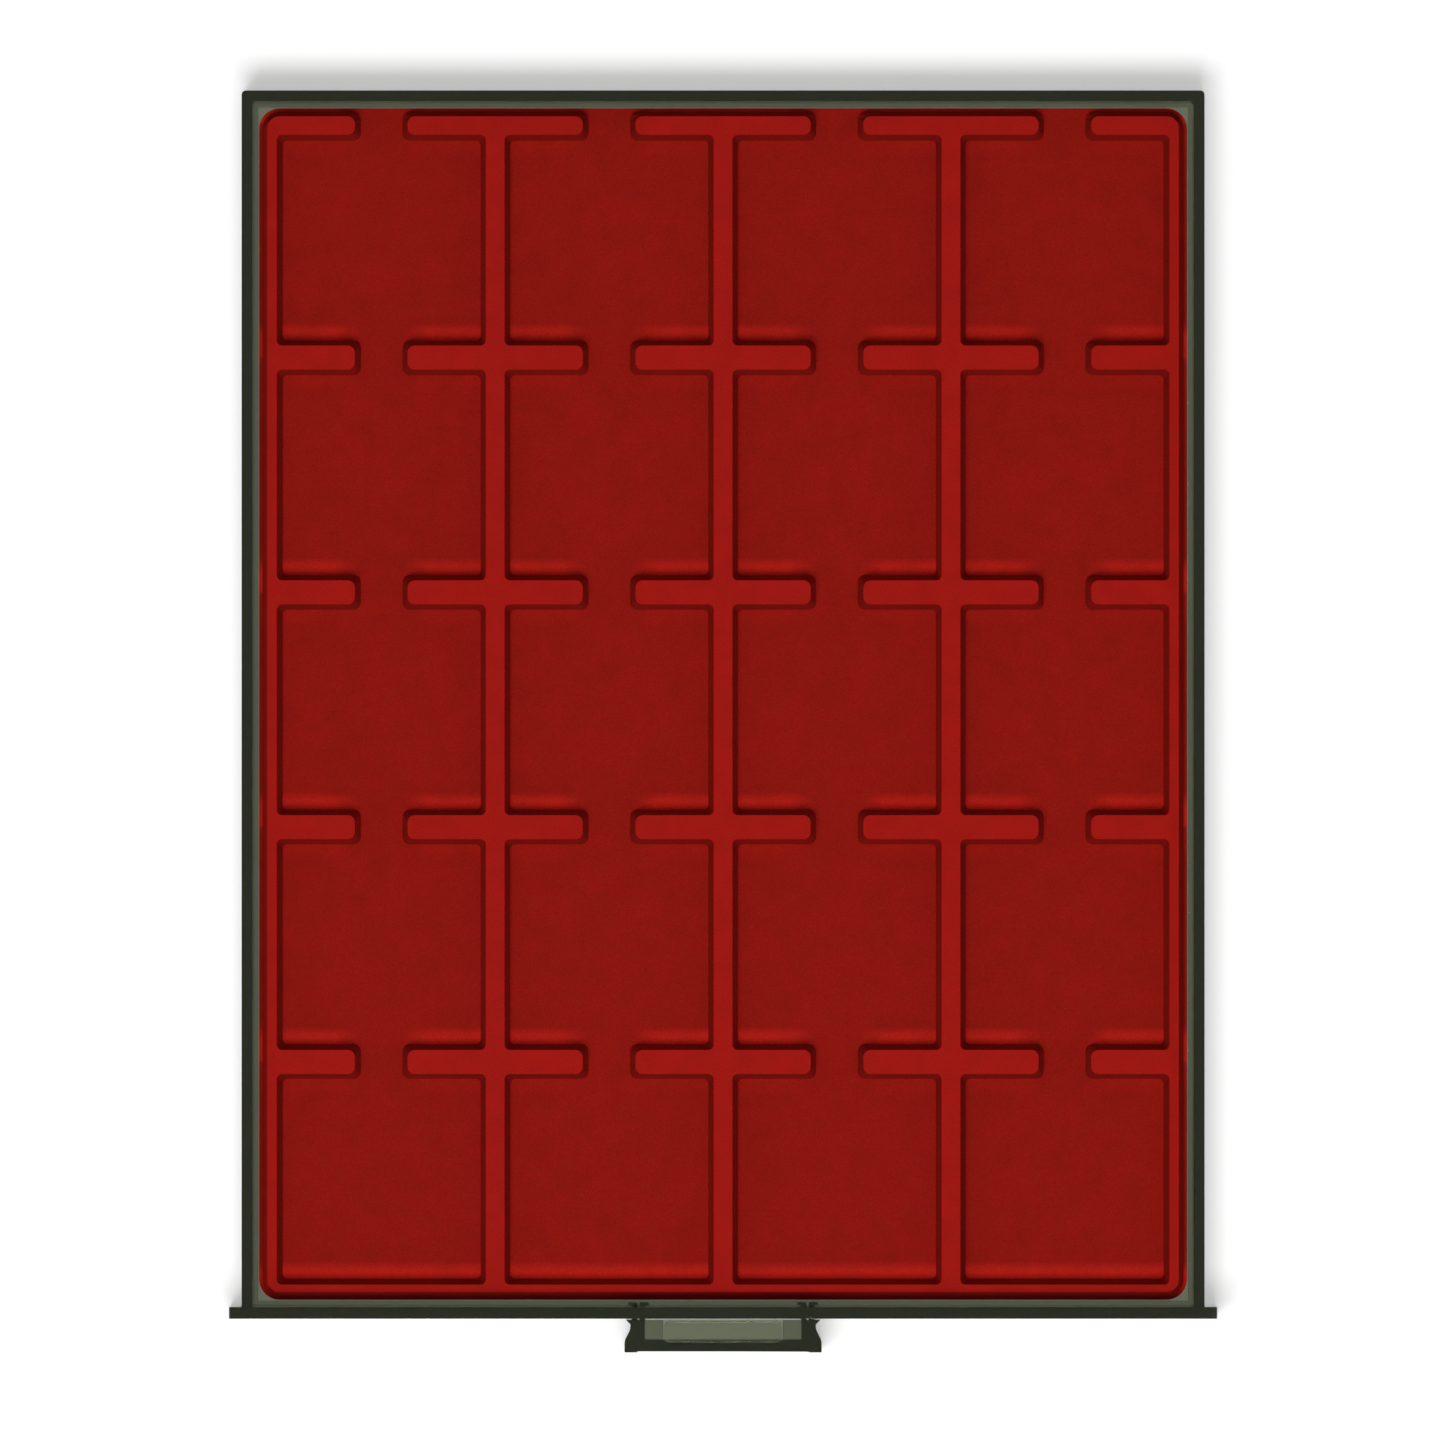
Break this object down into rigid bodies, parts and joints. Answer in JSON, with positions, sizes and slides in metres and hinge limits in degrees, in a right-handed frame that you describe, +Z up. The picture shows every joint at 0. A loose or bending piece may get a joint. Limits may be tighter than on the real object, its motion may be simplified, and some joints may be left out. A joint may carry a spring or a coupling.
{
  "type": "coin display tray",
  "caption": "Pull-out smoke-tinted coin tray with a lift-out red flocked insert of square compartments joined by finger gaps, and a snap-fitted pull handle.",
  "frame": {"origin": "middle of the whole tray's footprint, on the surface it stands on", "axes": "+Z up, front plate and pull handle towards -Y, +X to the right when seen from the front"},
  "size_m": [0.236, 0.3014, 0.019],
  "materials": {
    "smoke_plastic": "polished smoke-tinted transparent polystyrene",
    "handle_plastic": "polished smoke-tinted transparent polystyrene",
    "plaque_plastic": "fine satin smoke-tinted plastic, left bare",
    "red_flock": "short velour flock on a formed plastic sheet"
  },
  "bodies": {
    "drawer": {"drawer_tray": "smoke_plastic", "grip_handle": "handle_plastic", "name_plaque": "plaque_plastic"},
    "insert": {"coin_insert": "red_flock"}
  },
  "joints": [
    {"name": "insert_lift", "type": "slide", "parent": "drawer", "child": "insert", "axis": [0, 0, 1], "range_m": [0, 0.03]}
  ]
}
